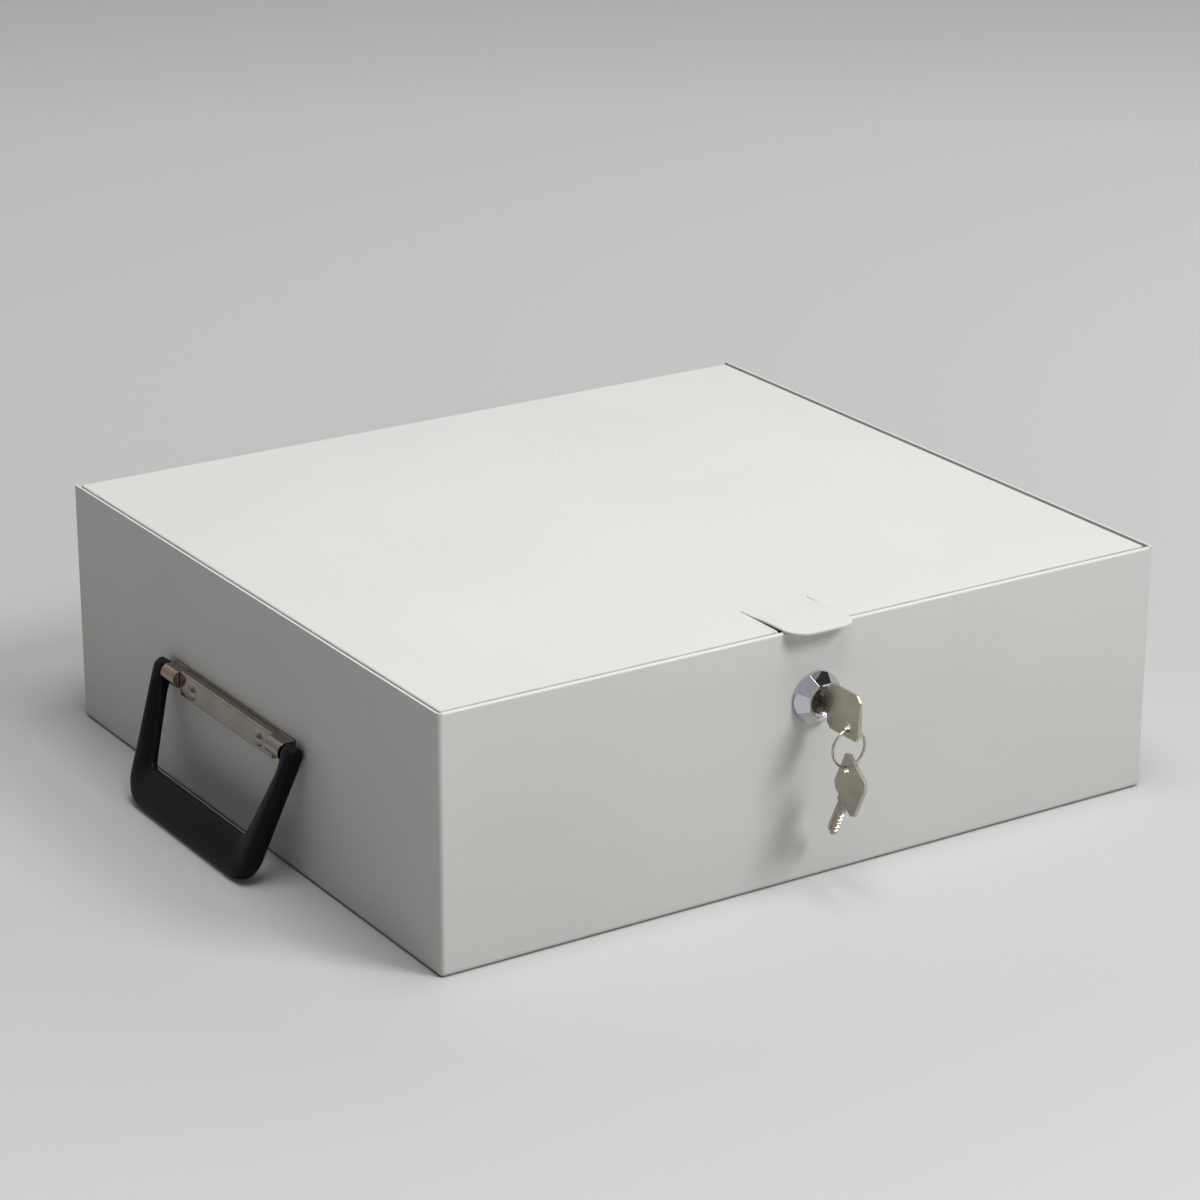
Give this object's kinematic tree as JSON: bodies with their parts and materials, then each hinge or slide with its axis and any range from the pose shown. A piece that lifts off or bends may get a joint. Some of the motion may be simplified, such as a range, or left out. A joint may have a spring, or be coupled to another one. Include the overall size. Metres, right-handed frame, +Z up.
{
  "type": "deed box",
  "caption": "Flat lockable steel deed box with an inset hinged lid, a front cam lock with its key and a spare on a ring, and a drop handle on one side.",
  "frame": {"origin": "centre of the underside of the case, on the surface that it rests on", "axes": "+X to the right seen from the lock, +Y from the front to the hinge, +Z up"},
  "size_m": [0.3773, 0.3565, 0.1111],
  "materials": {
    "grey_paint": "fine textured powder coat, pale grey, satin",
    "lock_chrome": "bright chrome plate",
    "plug_steel": "dull machined steel",
    "zinc_steel": "zinc plated steel",
    "brass": "plain pressed brass",
    "key_nickel": "nickel plated, finely brushed",
    "ring_steel": "bright drawn wire",
    "bracket_nickel": "nickel plated, softly polished",
    "black_plastic": "satin moulded plastic"
  },
  "bodies": {
    "case": {"case_body": "grey_paint", "hinge_leaf_case": "zinc_steel", "hinge_pin": "zinc_steel", "lock_housing": "lock_chrome", "lock_washer": "zinc_steel", "lock_nut": "zinc_steel", "handle_bracket": "bracket_nickel", "handle_pivot_pins": "zinc_steel", "bracket_rivets": "bracket_nickel", "rivet_washers": "zinc_steel"},
    "lid": {"lid_panel": "grey_paint", "hinge_leaf_lid": "zinc_steel", "lid_strike": "zinc_steel"},
    "barrel": {"lock_plug": "plug_steel", "lock_wafers": "brass", "wafer_springs": "plug_steel", "stop_washer": "zinc_steel", "lock_cam": "zinc_steel", "cam_screw": "zinc_steel"},
    "key": {"lock_key": "key_nickel"},
    "ring": {"key_ring": "ring_steel"},
    "hanging_key": {"spare_key": "key_nickel"},
    "handle": {"handle_grip": "black_plastic"}
  },
  "joints": [
    {"name": "lid_hinge", "type": "hinge", "parent": "case", "child": "lid", "pos_m": [0, 0.156, 0.10665], "axis": [-1, 0, 0], "range_deg": [0, 100]},
    {"name": "lock_turn", "type": "hinge", "parent": "case", "child": "barrel", "pos_m": [0, -0.159, 0.0795], "axis": [0, 1, 0], "range_deg": [0, 90]},
    {"name": "key_withdraw", "type": "slide", "parent": "barrel", "child": "key", "axis": [0, -1, 0], "range_m": [0, 0.022]},
    {"name": "ring_swing", "type": "hinge", "parent": "key", "child": "ring", "pos_m": [0, -0.1822, 0.07305], "axis": [1, 0, 0], "range_deg": [-40, 10]},
    {"name": "spare_key_swing", "type": "hinge", "parent": "ring", "child": "hanging_key", "pos_m": [0, -0.1822, 0.05725], "axis": [1, 0, 0], "range_deg": [-40, 5]},
    {"name": "handle_swing", "type": "hinge", "parent": "case", "child": "handle", "pos_m": [-0.1796, 0.008, 0.055], "axis": [0, 1, 0], "range_deg": [-20, 75]}
  ]
}
